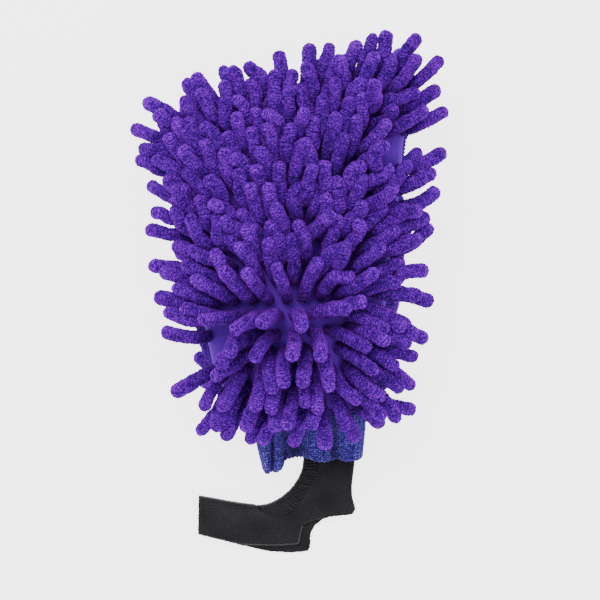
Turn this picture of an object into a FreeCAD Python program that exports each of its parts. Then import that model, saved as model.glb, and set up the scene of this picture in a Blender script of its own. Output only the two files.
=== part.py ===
import FreeCAD, Part
import math
import os
import random

# Wash mitt lying flat on its back.
# Millimetres. X runs across the palm, Y from the cuff to the finger end, Z up out of the palm face.

V = FreeCAD.Vector
doc = FreeCAD.newDocument("wash_mitt")
sheet = doc.addObject("Spreadsheet::Sheet", "sizes")
size_rows = [0]


def size(alias, value, meaning):
    """Writes one driving size into the sheet: meaning, value and alias."""
    size_rows[0] += 1
    row = size_rows[0]
    sheet.set("A%d" % row, meaning)
    sheet.set("B%d" % row, repr(float(value)))
    sheet.setAlias("B%d" % row, alias)


def read(alias):
    """Reads a driving size back out of the sheet."""
    return float(sheet.get(alias))


# ---------------------------------------------------------------- driving sizes
size("noodle_radius", 3.8, "radius of one chenille noodle at its root")
size("noodle_tip_radius", 3.6, "radius of the noodle's rounded tip")
size("noodle_length", 35.5, "full length of one noodle")
size("noodle_clear", 0.35, "least air between two noodles")
size("noodle_pitch", 12.2, "distance between roots along a row")
size("row_pitch", 11.6, "distance between two rows")
size("cloth_thickness", 2.0, "knitted backing cloth that carries the noodles")
size("lining_thickness", 1.0, "smooth lining cloth")
size("layer_gap", 0.3, "air between backing and lining")
size("seam_thickness", 1.0, "side seam, both cloths and the lining pressed together")
size("seam_outreach", 1.4, "how far the side seam stands out of the bag")
size("cuff_thickness", 2.2, "doubled knit of the cuff")
size("sleeve_cloth", 1.2, "knit of the inner wrist sleeve")
size("sleeve_air", 5.6, "air between the sleeve's two layers")
size("thread_width", 0.9, "width of a line of overlock thread")
size("thread_height", 0.5, "height of a line of overlock thread")

# The bag is lofted through ellipses: middle x, y, z, turn about Z, half width, half thickness.
BAG = (
    (4.0, -74.0, 26.0, 0.0, 41.0, 12.0),
    (1.0, -66.0, 28.5, 0.0, 49.0, 14.0),
    (-2.0, -50.0, 33.0, 1.0, 55.0, 16.0),
    (-3.8, -15.0, 38.5, 3.0, 60.5, 18.0),
    (-3.5, 35.0, 42.0, 6.0, 67.0, 18.5),
    (-4.5, 85.0, 43.0, 10.0, 74.5, 17.0),
    (-6.0, 113.0, 42.0, 12.5, 81.5, 13.5),
    (-7.0, 128.0, 41.0, 14.0, 83.5, 9.5),
    (-7.0, 136.5, 40.5, 14.0, 78.0, 5.0),
)
# The cuff is lofted the same way, from the wrist seam down to its hem.
CUFF = (
    (4.0, -76.2, 25.6, 0.0, 40.3, 11.8),
    (5.6, -86.0, 20.6, 2.0, 39.8, 11.2),
    (6.5, -98.0, 14.6, 5.0, 39.3, 10.6),
    (6.8, -112.6, 10.6, 6.1, 38.8, 10.2),
)
COLUMNS = ("x", "y", "z", "turn", "half_width", "half_height")
for word, table in (("bag", BAG), ("cuff", CUFF)):
    for number, row in enumerate(table):
        for column, value in zip(COLUMNS, row):
            size("%s_%s_%s" % (word, "abcdefghijk"[number], column), value,
                 "%s section %d, %s" % (word, number + 1, column))
doc.recompute()


# ---------------------------------------------------------------- lofted shells
def section(loft_name, word, letter, inset, shift_y):
    """One ellipse of a loft, made smaller all round by an inset given as an expression."""
    ellipse = doc.addObject("Part::Ellipse", "%s_%s" % (loft_name, letter))
    key = "sizes.%s_%s_" % (word, letter)
    ellipse.setExpression("MajorRadius", "%shalf_width - (%s)" % (key, inset))
    ellipse.setExpression("MinorRadius", "%shalf_height - (%s)" % (key, inset))
    turn = read("%s_%s_turn" % (word, letter))
    upright = FreeCAD.Rotation(V(1, 0, 0), 90)
    ellipse.Placement = FreeCAD.Placement(V(0, 0, 0), FreeCAD.Rotation(V(0, 0, 1), turn).multiply(upright))
    ellipse.setExpression("Placement.Base.x", key + "x")
    ellipse.setExpression("Placement.Base.y", "%sy + (%s)" % (key, shift_y))
    ellipse.setExpression("Placement.Base.z", key + "z")
    return ellipse


def loft(name, word, table, inset, first_shift, last_shift):
    """A closed loft through all the sections of a table."""
    letters = "abcdefghijk"[:len(table)]
    sections = []
    for letter in letters:
        shift = "0"
        if letter == letters[0]:
            shift = first_shift
        if letter == letters[-1]:
            shift = last_shift
        sections.append(section(name, word, letter, inset, shift))
    result = doc.addObject("Part::Loft", name)
    result.Sections = sections
    result.Solid = True
    return result


def cut(name, base, tool):
    result = doc.addObject("Part::Cut", name)
    result.Base, result.Tool = base, tool
    return result


def common(name, base, tool):
    result = doc.addObject("Part::Common", name)
    result.Base, result.Tool = base, tool
    return result


def feature(name, shape):
    """A document object that carries a shape made with Part functions."""
    result = doc.addObject("Part::Feature", name)
    result.Shape = shape
    result.Placement = FreeCAD.Placement()
    return result


CLOTH = "sizes.cloth_thickness"
BEHIND = CLOTH + " + sizes.layer_gap"
INSIDE = BEHIND + " + sizes.lining_thickness"
bag_outer = loft("bag_outer", "bag", BAG, "0", "0", "0")
bag_inner = loft("bag_inner", "bag", BAG, CLOTH, "0", "-(%s)" % CLOTH)
lining_outer = loft("lining_outer", "bag", BAG, BEHIND, "0", "-(%s)" % BEHIND)
lining_inner = loft("lining_inner", "bag", BAG, INSIDE, "0", "-(%s)" % INSIDE)
seam_outer = loft("seam_outer", "bag", BAG, "-sizes.seam_outreach", "0", "sizes.seam_outreach")


def middle_line(lift):
    """The line that parts the front of the bag from its back, seen from the side."""
    points = [V(0, row[1], row[2] + lift) for row in BAG]
    ahead, astern = points[0], points[-1]
    return [V(0, ahead.y - 20, ahead.z)] + points + [V(0, astern.y + 20, astern.z)]


def side_slab(name, lower, upper):
    """A slab across the whole width between two side-view lines."""
    half = 130.0
    outline = lower + list(reversed(upper))
    outline = [V(-half, p.y, p.z) for p in outline]
    face = Part.Face(Part.makePolygon(outline + [outline[0]]))
    return feature(name, face.extrude(V(2 * half, 0, 0)))


half_seam = read("seam_thickness") / 2
high = [V(0, p.y, 150) for p in middle_line(0)]
low = [V(0, p.y, -60) for p in middle_line(0)]
above = side_slab("above_seam", middle_line(half_seam + 0.05), high)
below = side_slab("below_seam", low, middle_line(-half_seam - 0.05))
between = side_slab("seam_level", middle_line(-half_seam), middle_line(half_seam))

backing_shell = cut("backing_shell", bag_outer, bag_inner)
lining_shell = cut("lining_shell", lining_outer, lining_inner)
seam_ring = cut("seam_ring", seam_outer, lining_inner)
front_backing = common("front_backing", backing_shell, above)
back_backing = common("back_backing", backing_shell, below)
front_lining = common("front_lining", lining_shell, above)
back_lining = common("back_lining", lining_shell, below)
side_seam = common("side_seam", seam_ring, between)

# ---------------------------------------------------------------- wrist seam and cuff
cuff_outer = loft("cuff_outer", "cuff", CUFF, "0", "0", "0")
cuff_inner = loft("cuff_inner", "cuff", CUFF, "sizes.cuff_thickness", "3", "-3")
knit_cuff = cut("knit_cuff", cuff_outer, cuff_inner)


def wrist_disc(name, inset, shift_y, depth):
    """A flat elliptical disc at the bag's mouth, reaching from there towards the cuff."""
    disc = doc.addObject("Part::Extrusion", name)
    disc.Base = section(name, "bag", "a", inset, shift_y)
    disc.DirMode = "Normal"
    disc.Reversed = True
    disc.LengthFwd = depth
    disc.Solid = True
    return disc


wrist_outer = wrist_disc("wrist_outer", "-0.6", "-0.1", 1.6)
wrist_inner = wrist_disc("wrist_inner", "4", "1", 4.0)
wrist_seam = cut("wrist_seam", wrist_outer, wrist_inner)

# ---------------------------------------------------------------- inner wrist sleeve
# Outline of the knit tube as it lies, bent a quarter turn, with the thumb opening at the bend.
LEG_RIGHT = ((37.5, -110.0), (37.3, -114.0), (35.6, -129.0), (35.8, -136.0), (38.2, -145.0), (36.6, -148.2))
THUMB_SIDE = ((25.0, -149.9), (10.4, -152.7), (2.8, -155.5))
FRONT_HEM = ((1.0, -161.0), (-0.7, -169.6), (-17.4, -170.7), (-41.0, -170.0), (-71.0, -162.7))
BACK_HEM = ((16.7, -152.0), (10.4, -156.8), (7.6, -161.7), (6.9, -172.8), (4.9, -174.9),
            (-6.2, -176.0), (-22.2, -174.9), (-41.0, -170.7), (-71.0, -162.9))
ARM_END = ((-70.2, -136.0),)
ARM_TOP = ((-59.0, -137.8), (-50.7, -139.5), (-41.6, -140.9), (-27.8, -142.3), (-18.7, -140.2))
BEND = ((-13.2, -136.7), (-4.9, -129.0), (1.2, -118.0), (2.0, -113.8))
BAND_SEAM = ((12.7, -112.7), (11.8, -118.7), (9.0, -125.6), (4.2, -133.2), (0.7, -139.5), (-4.2, -145.7),
             (-10.5, -150.0))
SLEEVE_TOP = V(6.8, -112.0, 1.6)
SLEEVE_SLOPE = 1.3


def pad(name, *layers):
    """One PartDesign body of flat pads, each an outline, a height from the sheet and a base level."""
    body = doc.addObject("PartDesign::Body", name)
    for number, (outline, height, base) in enumerate(layers):
        sketch = body.newObject("Sketcher::SketchObject", "%s_outline_%d" % (name, number + 1))
        for index, start in enumerate(outline):
            end = outline[(index + 1) % len(outline)]
            line = Part.LineSegment(V(start[0], start[1], 0), V(end[0], end[1], 0))
            sketch.addGeometry(line, False)
        sketch.Placement = FreeCAD.Placement(V(0, 0, base), FreeCAD.Rotation())
        solid = body.newObject("PartDesign::Pad", "%s_pad_%d" % (name, number + 1))
        solid.Profile = sketch
        solid.setExpression("Length", height)
        body.Tip = solid
    return body


def ribbon_outline(path, width):
    """The outline of a strip of even width that follows a path."""
    left, right = [], []
    for index, point in enumerate(path):
        before = path[max(index - 1, 0)]
        after = path[min(index + 1, len(path) - 1)]
        dx, dy = after[0] - before[0], after[1] - before[1]
        span = math.hypot(dx, dy)
        nx, ny = -dy / span * width / 2, dx / span * width / 2
        left.append((point[0] + nx, point[1] + ny))
        right.append((point[0] - nx, point[1] - ny))
    return left + list(reversed(right))


cloth = read("sleeve_cloth")
air = read("sleeve_air")
thick = 2 * cloth + air
inside_band = [(x, y) for x, y in BAND_SEAM]
front_outline = list(LEG_RIGHT + THUMB_SIDE + FRONT_HEM + ARM_END + ARM_TOP) + list(reversed(inside_band))
back_outline = list(LEG_RIGHT + ((25.0, -150.3),) + BACK_HEM + ARM_END + ARM_TOP) + list(reversed(inside_band))
band_outline = list(BEND) + [(x - 0.25, y + 0.1) for x, y in BAND_SEAM[:-1]] + [(-10.5, -149.65), (-18.4, -140.4)]
CLOTH_HEIGHT = "sizes.sleeve_cloth"
FOLD_HEIGHT = "sizes.sleeve_air - 0.05"
FULL_HEIGHT = "2 * sizes.sleeve_cloth + sizes.sleeve_air"
THREAD_HEIGHT = "sizes.thread_height"
right_fold = ribbon_outline([(x - 0.9, y) for x, y in LEG_RIGHT[:5]], 1.2)
arm_fold = ribbon_outline([(-69.4, -137.1)] + [(x, y - 1.0) for x, y in ARM_TOP[:-1]], 1.2)
sleeve_front = pad("sleeve_front_layer", (front_outline, CLOTH_HEIGHT, cloth + air))
sleeve_back = pad("sleeve_back_layer", (back_outline, CLOTH_HEIGHT, 0.0),
                  (right_fold, FOLD_HEIGHT, cloth), (arm_fold, FOLD_HEIGHT, cloth))
rib_band = pad("sleeve_rib_band", (band_outline, FULL_HEIGHT, 0.0))
thread_width = read("thread_width")
hem_path = [(2.0, -156.6), (0.2, -161.0), (-1.6, -168.7), (-17.4, -169.8), (-41.0, -169.1), (-64.0, -163.7)]
band_path = [(x + 0.9, y - 0.3) for x, y in BAND_SEAM[:-1]]
end_path = [(-66.6, -162.6), (-66.0, -138.0)]
threads = []
for name, path in (("thumb_opening_overlock", hem_path), ("rib_band_seam_thread", band_path),
                   ("sleeve_end_stitching", end_path)):
    threads.append(pad(name, (ribbon_outline(path, thread_width), THREAD_HEIGHT, thick + 0.02)))
sleeve_parts = [sleeve_front, sleeve_back, rib_band] + threads
slope = FreeCAD.Placement(V(0, 0, 0), FreeCAD.Rotation(V(1, 0, 0), SLEEVE_SLOPE))
to_top = FreeCAD.Placement(SLEEVE_TOP, FreeCAD.Rotation())
from_top = FreeCAD.Placement(V(-SLEEVE_TOP.x, -SLEEVE_TOP.y, 0), FreeCAD.Rotation())
sleeve_place = to_top.multiply(slope).multiply(from_top)
for body in sleeve_parts:
    body.Placement = sleeve_place
doc.recompute()

# ---------------------------------------------------------------- chenille noodles
RADIUS = read("noodle_radius")
TIP_RADIUS = read("noodle_tip_radius")
AXIS = read("noodle_length") - RADIUS - TIP_RADIUS
CLEAR = read("noodle_clear")
ROOT_GAP = 0.3
PARTING = V(-8.0, -28.0, 0)
BACK_PARTING = V(5.0, -112.0, 0)
CUFF_MIDDLE = CUFF[1][0]
CUFF_HALF = CUFF[1][4]
rng = random.Random(20)

# Places on the palm face where no noodle is rooted and the smooth backing shows: x, y, half sizes.
BARE_PATCHES = (
    (-51.0, -31.0, 9.0, 13.0),
    (-61.0, 32.0, 5.0, 10.0),
    (56.0, 94.0, 7.0, 11.0),
    (30.0, 24.0, 9.0, 5.0),
)


def bag_face():
    """The one curved side of the bag's outside."""
    faces = sorted(bag_outer.Shape.Faces, key=lambda f: f.Area)
    return faces[-1]


SKIN = bag_face()
U0, U1, V0, V1 = SKIN.ParameterRange


def skin(u, v):
    """Point and outward normal of the bag, u once round it and v from wrist to finger end."""
    a, b = U0 + (U1 - U0) * u, V0 + (V1 - V0) * v
    return SKIN.valueAt(a, b), SKIN.normalAt(a, b)


def even_steps(point_at, steps=240):
    """Running length along a line of the skin, as a list of pairs of length and parameter."""
    table, total = [(0.0, 0.0)], 0.0
    last = point_at(0.0)
    for index in range(1, steps + 1):
        share = index / steps
        here = point_at(share)
        total += here.distanceToPoint(last)
        table.append((total, share))
        last = here
    return table


def parameter_at(table, length):
    """The parameter that lies at a running length."""
    for (low_length, low_share), (high_length, high_share) in zip(table, table[1:]):
        if length <= high_length:
            part = (length - low_length) / max(high_length - low_length, 1e-9)
            return low_share + (high_share - low_share) * part
    return table[-1][1]


def smooth(value, low, high):
    share = min(max((value - low) / (high - low), 0.0), 1.0)
    return share * share * (3 - 2 * share)


def unit(vector):
    length = vector.Length
    return vector * (1.0 / length) if length > 1e-9 else V(0, 0, 1)


def between_points(value, points):
    """Straight-line reading of a short table of (position, value) pairs."""
    if value <= points[0][0]:
        return points[0][1]
    for (low, low_value), (high, high_value) in zip(points, points[1:]):
        if value <= high:
            return low_value + (high_value - low_value) * (value - low) / (high - low)
    return points[-1][1]


def across(point):
    """How far out from the middle of the bag a point lies, -1 at the left seam and 1 at the right."""
    middle = between_points(point.y, [(row[1], row[0]) for row in BAG])
    half = between_points(point.y, [(row[1], row[4]) for row in BAG])
    return max(min((point.x - middle) / half, 1.0), -1.0)


def front_direction(point, normal):
    """Palm noodles part round one spot: up the palm, down over the cuff, and outwards at the sides."""
    side = across(point)
    rim = abs(side) ** 2.2
    rise = point.y - PARTING.y
    up = smooth(rise, 0, 45) - smooth(-rise, 0, 30)
    if side < 0:
        rim_up = between_points(point.y, [(-60, -0.75), (-20, -0.2), (60, 0.1), (130, 0.9)])
    else:
        rim_up = between_points(point.y, [(-60, -0.8), (0, -0.35), (90, -0.2), (125, 0.2), (150, 1.0)])
    sideways = side * 1.15 + 0.35 * smooth(abs(side), 0.55, 1.0) * (1 if side > 0 else -1)
    away = V(sideways, up * (1 - rim) + rim_up * rim, 0)
    distance = math.hypot(point.x - PARTING.x, rise)
    away = unit(away)
    tangent = away - normal * away.dot(normal)
    lean = math.radians(54) * smooth(distance, 0, 62)
    return unit(normal * math.cos(lean) + tangent * math.sin(lean))


def back_direction(point, normal):
    """Back noodles are combed towards the finger end and pressed down to the floor."""
    away = unit(V((point.x - BACK_PARTING.x), (point.y - BACK_PARTING.y), 0))
    drop = (point.z - RADIUS - TIP_RADIUS - 0.4) / AXIS
    drop = min(max(drop, 0.05), math.sin(math.radians(50)))
    flat_share = math.sqrt(1 - drop * drop)
    return unit(V(away.x * flat_share, away.y * flat_share, -drop))


def bare(point):
    for x, y, half_x, half_y in BARE_PATCHES:
        if ((point.x - x) / half_x) ** 2 + ((point.y - y) / half_y) ** 2 < 1:
            return True
    return False


def plant(side):
    """Roots of one side of the mitt, row by row, each with its first direction."""
    start = 0.0 if side == "front" else 0.5
    crown = start + 0.25
    row_table = even_steps(lambda share: skin(crown, share)[0])
    run = row_table[-1][0]
    first = 8.5 if side == "front" else 10.0
    rows = int((run - first - 3.0) / read("row_pitch")) + 1
    pitch = (run - first - 3.0) / (rows - 1)
    planted = []
    for row in range(rows):
        share = parameter_at(row_table, first + row * pitch)
        table = even_steps(lambda around: skin(start + 0.5 * around, share)[0], 160)
        width = table[-1][0]
        margin = 5.4
        count = int((width - 2 * margin) / read("noodle_pitch")) + (1 if row % 2 else 2)
        step = (width - 2 * margin) / max(count - 1, 1)
        if row % 2:
            step = (width - 2 * margin) / count
        for index in range(count):
            length = margin + (index + (0.5 if row % 2 else 0.0)) * step
            length += rng.uniform(-0.7, 0.7)
            around = parameter_at(table, length)
            point, normal = skin(start + 0.5 * around, min(share + rng.uniform(-0.003, 0.003), 0.999))
            if side == "front" and bare(point):
                continue
            way = front_direction(point, normal) if side == "front" else back_direction(point, normal)
            way = unit(way + V(rng.uniform(-1, 1), rng.uniform(-1, 1), rng.uniform(-1, 1)) * 0.10)
            root = point + normal * (RADIUS + ROOT_GAP)
            if side == "back" and root.z < RADIUS + 0.3:
                continue
            planted.append({"side": side, "row": row, "root": root, "normal": normal, "way": way, "axis": AXIS})
    return planted


def nearest(p, d, q, e):
    """Shares along two segments p+d and q+e where they come closest, and the gap between them."""
    r = (p[0] - q[0], p[1] - q[1], p[2] - q[2])
    a = d[0] * d[0] + d[1] * d[1] + d[2] * d[2]
    b = e[0] * e[0] + e[1] * e[1] + e[2] * e[2]
    f = e[0] * r[0] + e[1] * r[1] + e[2] * r[2]
    c = d[0] * r[0] + d[1] * r[1] + d[2] * r[2]
    g = d[0] * e[0] + d[1] * e[1] + d[2] * e[2]
    bottom = a * b - g * g
    s = min(max((g * f - c * b) / bottom, 0.0), 1.0) if bottom > 1e-9 else 0.5
    t = (g * s + f) / b
    if t < 0.0:
        t, s = 0.0, min(max(-c / a, 0.0), 1.0)
    elif t > 1.0:
        t, s = 1.0, min(max((g - c) / a, 0.0), 1.0)
    gap = (r[0] + d[0] * s - e[0] * t, r[1] + d[1] * s - e[1] * t, r[2] + d[2] * s - e[2] * t)
    return s, t, gap


def hold_back(noodle):
    """Keeps a noodle off the bag, the floor and the space the cuff moves in."""
    way, normal, root = noodle["way"], noodle["normal"], noodle["root"]
    least = 0.13 if noodle["side"] == "back" else 0.30
    lean = way.dot(normal)
    if lean < least:
        way = unit(way + normal * (least - lean))
    tip_z = root.z + way.z * noodle["axis"]
    floor = TIP_RADIUS + 0.05
    if tip_z < floor:
        down = (floor - root.z) / noodle["axis"]
        flat = math.hypot(way.x, way.y)
        share = math.sqrt(max(1 - down * down, 0.0)) / max(flat, 1e-9)
        way = V(way.x * share, way.y * share, down)
    tip = root + way * noodle["axis"]
    beside_cuff = abs(tip.x - CUFF_MIDDLE) > CUFF_HALF + RADIUS + 4.0
    if tip.y < -72.0 and not beside_cuff:
        if noodle["side"] == "back" or root.z < 39.0:
            way = unit(way + V(0.10 if root.x > CUFF_MIDDLE else -0.10, 0.10, 0.0))
        elif tip.z < 47.5:
            way = unit(way + V(0, 0, 0.06))
    noodle["way"] = way


def spread(noodles, rounds):
    """Turns neighbouring noodles apart about their roots until they have air between them."""
    reach = 2 * AXIS + 2 * RADIUS
    pairs = []
    for i, a in enumerate(noodles):
        for j in range(i + 1, len(noodles)):
            if a["root"].distanceToPoint(noodles[j]["root"]) < reach * 0.62:
                pairs.append((i, j))
    for turn in range(rounds):
        worst = 0.0
        roots = [(n["root"].x, n["root"].y, n["root"].z) for n in noodles]
        ways = [(n["way"].x * n["axis"], n["way"].y * n["axis"], n["way"].z * n["axis"]) for n in noodles]
        moves = [[0.0, 0.0, 0.0] for n in noodles]
        for i, j in pairs:
            s, t, gap = nearest(roots[i], ways[i], roots[j], ways[j])
            distance = math.sqrt(gap[0] ** 2 + gap[1] ** 2 + gap[2] ** 2)
            need = 2 * RADIUS + CLEAR
            if distance < need:
                short = (need - distance) * 0.55
                worst = max(worst, need - distance)
                scale = 1.0 / max(distance, 1e-6)
                for axis in range(3):
                    moves[i][axis] += gap[axis] * scale * short * s
                    moves[j][axis] -= gap[axis] * scale * short * t
        for noodle, move, way in zip(noodles, moves, ways):
            noodle["way"] = unit(V(way[0] + move[0], way[1] + move[1], way[2] + move[2]))
            hold_back(noodle)
        if worst < CLEAR * 0.4:
            break
    return pairs, worst


def crowded(noodles, pairs):
    """How many neighbours each noodle still touches."""
    touches = [0] * len(noodles)
    for i, j in pairs:
        a, b = noodles[i], noodles[j]
        d, e = a["way"] * a["axis"], b["way"] * b["axis"]
        s, t, gap = nearest(tuple(a["root"]), tuple(d), tuple(b["root"]), tuple(e))
        if math.sqrt(gap[0] ** 2 + gap[1] ** 2 + gap[2] ** 2) < 2 * RADIUS + 0.06:
            touches[i] += 1
            touches[j] += 1
    return touches


def settle(noodles):
    """Spreads the noodles, thinning out the few that find no room."""
    for attempt in range(40):
        pairs, worst = spread(noodles, 160 if attempt == 0 else 40)
        touches = crowded(noodles, pairs)
        most = max(touches)
        if most == 0:
            return noodles
        doomed = max(range(len(noodles)), key=lambda k: (touches[k], k))
        gone = {doomed}
        for k in range(len(noodles)):
            far = all(noodles[k]["root"].distanceToPoint(noodles[g]["root"]) > 45 for g in gone)
            if touches[k] >= max(1, most) and far:
                gone.add(k)
        noodles = [n for k, n in enumerate(noodles) if k not in gone]
    return noodles


noodles = settle(plant("front") + plant("back"))


def noodle_shape():
    """One noodle standing on its root: a slim cone between two round ends."""
    half_turn = math.pi / 2
    profile = [
        Part.Arc(V(0, 0, -RADIUS), V(RADIUS * math.sin(half_turn / 2), 0, -RADIUS * math.cos(half_turn / 2)),
                 V(RADIUS, 0, 0)).toShape(),
        Part.LineSegment(V(RADIUS, 0, 0), V(TIP_RADIUS, 0, AXIS)).toShape(),
        Part.Arc(V(TIP_RADIUS, 0, AXIS),
                 V(TIP_RADIUS * math.cos(half_turn / 2), 0, AXIS + TIP_RADIUS * math.sin(half_turn / 2)),
                 V(0, 0, AXIS + TIP_RADIUS)).toShape(),
        Part.LineSegment(V(0, 0, AXIS + TIP_RADIUS), V(0, 0, -RADIUS)).toShape(),
    ]
    face = Part.Face(Part.Wire(profile))
    return face.revolve(V(0, 0, 0), V(0, 0, 1), 360)


master = noodle_shape()
if master.ShapeType != "Solid":
    master = Part.Solid(master) if master.ShapeType == "Shell" else master.Solids[0]
rows = {}
for noodle in noodles:
    rows.setdefault((noodle["side"], noodle["row"]), []).append(noodle)
noodle_rows = []
for (side, row), members in sorted(rows.items()):
    solids = []
    for noodle in members:
        copy = master.copy()
        copy.Placement = FreeCAD.Placement(noodle["root"], FreeCAD.Rotation(V(0, 0, 1), noodle["way"]))
        solids.append(copy)
    name = "%s_noodles_row_%02d" % (side, row + 1)
    noodle_rows.append(feature(name, Part.makeCompound(solids)))

# ---------------------------------------------------------------- place, check and write
pieces = [front_backing, back_backing, front_lining, back_lining, side_seam, wrist_seam, knit_cuff]
pieces += sleeve_parts + noodle_rows
for piece in pieces:
    piece.Label = piece.Name
doc.recompute()
for thing in doc.Objects:
    state = " ".join(thing.State)
    if "Invalid" in state or "Error" in state:
        raise SystemExit("bad object %s: %s" % (thing.Name, state))

corners = [corner for piece in pieces for corner in piece.Shape.tessellate(0.02)[0]]
low_corner = V(*(min(corner[axis] for corner in corners) for axis in range(3)))
high_corner = V(*(max(corner[axis] for corner in corners) for axis in range(3)))
shift = V(-(low_corner.x + high_corner.x) / 2, -(low_corner.y + high_corner.y) / 2, -low_corner.z)
print("shift", shift, "from", low_corner, "to", high_corner)
print("noodles", {side: sum(len(m) for (s, r), m in rows.items() if s == side) for side in ("front", "back")})
os.makedirs("parts", exist_ok=True)
for old in os.listdir("parts"):
    if old.endswith(".step"):
        os.remove(os.path.join("parts", old))
for piece in pieces:
    shape = piece.Shape.copy()
    if shape.isNull() or not shape.isValid():
        raise SystemExit("bad shape " + piece.Name)
    shape.translate(shift)
    shape.exportStep("parts/%s.step" % piece.Label)
    print(piece.Label, len(shape.Solids), round(shape.Volume, 1))
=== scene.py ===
import math
import bpy
import numpy as np
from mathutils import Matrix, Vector, kdtree
from mathutils.bvhtree import BVHTree
from mathutils.geometry import delaunay_2d_cdt


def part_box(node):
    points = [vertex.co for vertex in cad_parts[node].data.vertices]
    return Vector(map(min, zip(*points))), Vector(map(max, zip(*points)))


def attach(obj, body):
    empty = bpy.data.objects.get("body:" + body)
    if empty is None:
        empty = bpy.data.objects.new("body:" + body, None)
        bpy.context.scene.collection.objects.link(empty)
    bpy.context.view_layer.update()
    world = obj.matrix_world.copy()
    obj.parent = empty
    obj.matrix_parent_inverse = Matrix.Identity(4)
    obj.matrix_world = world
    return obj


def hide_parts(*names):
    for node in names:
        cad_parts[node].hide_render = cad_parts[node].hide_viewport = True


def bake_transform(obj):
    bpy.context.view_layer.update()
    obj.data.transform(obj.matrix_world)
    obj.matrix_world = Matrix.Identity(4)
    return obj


# Looks of the wash mitt. Lengths are millimetres in the design frame of the CAD,
# unless a name says otherwise.
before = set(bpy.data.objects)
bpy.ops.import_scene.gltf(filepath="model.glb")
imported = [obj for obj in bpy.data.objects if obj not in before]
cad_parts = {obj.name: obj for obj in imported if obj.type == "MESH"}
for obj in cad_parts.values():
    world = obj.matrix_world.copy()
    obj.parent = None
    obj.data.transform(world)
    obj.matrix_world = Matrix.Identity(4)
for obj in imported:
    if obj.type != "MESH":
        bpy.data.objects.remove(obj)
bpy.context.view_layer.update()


MM = 0.001
rng = np.random.default_rng(7)

# ------------------------------------------------------------------ design sizes
# Bag sections: middle x, y, z, turn in degrees, half width, half thickness.
BAG = np.array([
    (4.0, -74.0, 26.0, 0.0, 41.0, 12.0),
    (1.0, -66.0, 28.5, 0.0, 49.0, 14.0),
    (-2.0, -50.0, 33.0, 1.0, 55.0, 16.0),
    (-3.8, -15.0, 38.5, 3.0, 60.5, 18.0),
    (-3.5, 35.0, 42.0, 6.0, 67.0, 18.5),
    (-4.5, 85.0, 43.0, 10.0, 74.5, 17.0),
    (-6.0, 113.0, 42.0, 12.5, 81.5, 13.5),
    (-7.0, 128.0, 41.0, 14.0, 83.5, 9.5),
    (-7.0, 136.5, 40.5, 14.0, 78.0, 5.0),
])
# Cuff sections, from the wrist seam to the hem, in the same columns.
CUFF = np.array([
    (4.0, -76.2, 25.6, 0.0, 40.3, 11.8),
    (5.6, -86.0, 20.6, 2.0, 39.8, 11.2),
    (6.5, -98.0, 14.6, 5.0, 39.3, 10.6),
    (6.8, -112.6, 10.6, 6.1, 38.8, 10.2),
])
PILE_RADIUS = 4.55
WRIST_SEAM_X, WRIST_SEAM_Y = 4.0, -74.1

seam_low, seam_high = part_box("wrist_seam")
SHIFT = np.array([
    (seam_low.x + seam_high.x) / 2 / MM - WRIST_SEAM_X,
    seam_high.y / MM - WRIST_SEAM_Y,
    0.0,
])


def to_frame(points):
    """Design millimetres to metres in the row frame."""
    return (np.asarray(points, float) + SHIFT) * MM


# ------------------------------------------------------------------ mesh helpers
def put_in_scene(name, data):
    """A new object in the scene."""
    thing = bpy.data.objects.new(name, data)
    bpy.context.scene.collection.objects.link(thing)
    return thing


def unit(vectors):
    """Vectors scaled to length 1, with the last axis as their coordinates."""
    return vectors / np.linalg.norm(vectors, axis=-1, keepdims=True)


def run_along(path):
    """Distance from the start of a path at each of its points."""
    return np.concatenate([[0], np.cumsum(np.linalg.norm(np.diff(path, axis=0), axis=1))])


def spaced(path, run, at):
    """Values of a path at given distances along it."""
    return np.stack([np.interp(at, run, path[:, k]) for k in range(path.shape[1])], 1)


def smooth_curve(knots, position):
    """Values of a smooth curve through rows of knots, at positions counted in knots."""
    before = 2 * knots[..., :1, :] - knots[..., 1:2, :]
    after = 2 * knots[..., -1:, :] - knots[..., -2:-1, :]
    padded = np.concatenate([before, knots, after], axis=-2)
    k = np.clip(position.astype(int), 0, knots.shape[-2] - 2)
    f = (position - k)[:, None]
    p0, p1, p2, p3 = (padded[..., k + shift, :] for shift in range(4))
    return 0.5 * (2 * p1 + (p2 - p0) * f + (2 * p0 - 5 * p1 + 4 * p2 - p3) * f ** 2
                  + (3 * p1 - p0 - 3 * p2 + p3) * f ** 3)


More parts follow.
